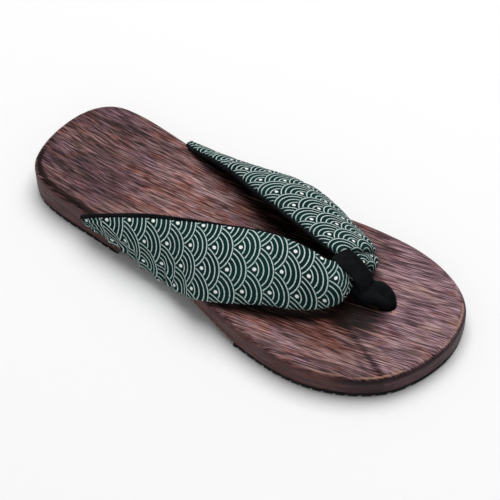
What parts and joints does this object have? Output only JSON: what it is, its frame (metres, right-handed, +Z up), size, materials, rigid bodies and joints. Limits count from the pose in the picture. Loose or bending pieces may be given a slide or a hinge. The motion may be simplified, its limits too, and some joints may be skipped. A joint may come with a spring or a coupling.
{
  "type": "geta sandal",
  "caption": "Right-foot low wooden sandal with a sawn arch, rubber pads, a padded printed strap and a toe thong.",
  "frame": {"origin": "on the floor, under the middle of the board's bounding box", "axes": "+X to the toe, +Y to the wearer's left (the medial side), +Z up"},
  "size_m": [0.2699, 0.1075, 0.0503],
  "materials": {
    "brushed_wood": "burnt and brushed, thin satin stain",
    "rubber": "matte",
    "printed_cloth": "matte cotton with a pale wave print",
    "black_cloth": "matte brushed cloth"
  },
  "bodies": {
    "root": {"sole_board": "brushed_wood", "heel_pad": "rubber", "forefoot_pad": "rubber", "strap": "printed_cloth", "toe_thong": "black_cloth"}
  },
  "joints": []
}
